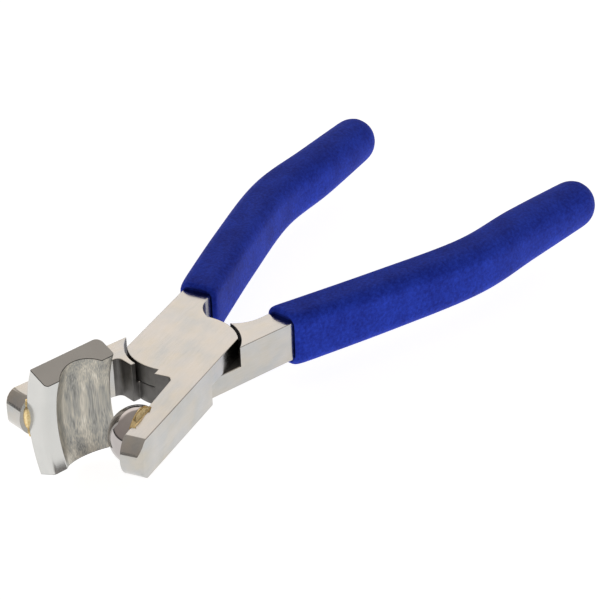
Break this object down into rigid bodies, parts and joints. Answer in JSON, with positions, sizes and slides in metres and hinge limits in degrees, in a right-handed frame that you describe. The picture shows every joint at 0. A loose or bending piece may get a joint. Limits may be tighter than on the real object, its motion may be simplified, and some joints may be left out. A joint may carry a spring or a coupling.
{
  "type": "bracelet forming pliers",
  "caption": "Lap-jointed pliers that curve sheet metal between a domed punch and a grooved arc die brazed to the jaws, with soft sleeves on long bowed handles.",
  "frame": {"origin": "on the pivot axis, at the middle of the joint's thickness", "axes": "+X along the tool from the jaws to the handles, +Y towards the handle of the dome arm, +Z along the pivot out of the dome arm's joint plate"},
  "size_m": [0.1902, 0.095, 0.0322],
  "materials": {
    "dome_arm_steel": "satin ground",
    "die_arm_steel": "satin ground",
    "rivet_steel": "ground flush",
    "dome_steel": "mirror polished",
    "die_steel": "polished outside, brushed along the groove",
    "dome_filler": "brushed filler",
    "die_filler": "brushed filler",
    "dome_grip_foam": "matte mottled skin",
    "die_grip_foam": "matte mottled skin"
  },
  "bodies": {
    "dome_side": {"dome_arm": "dome_arm_steel", "pivot_rivet": "rivet_steel", "forming_dome": "dome_steel", "dome_braze": "dome_filler", "dome_arm_grip": "dome_grip_foam"},
    "die_side": {"die_arm": "die_arm_steel", "forming_die": "die_steel", "die_braze": "die_filler", "die_arm_grip": "die_grip_foam"}
  },
  "joints": [
    {"name": "pivot", "type": "hinge", "parent": "dome_side", "child": "die_side", "pos_m": [0, 0, 0], "axis": [0, 0, 1], "range_deg": [-44, 22.6]}
  ]
}
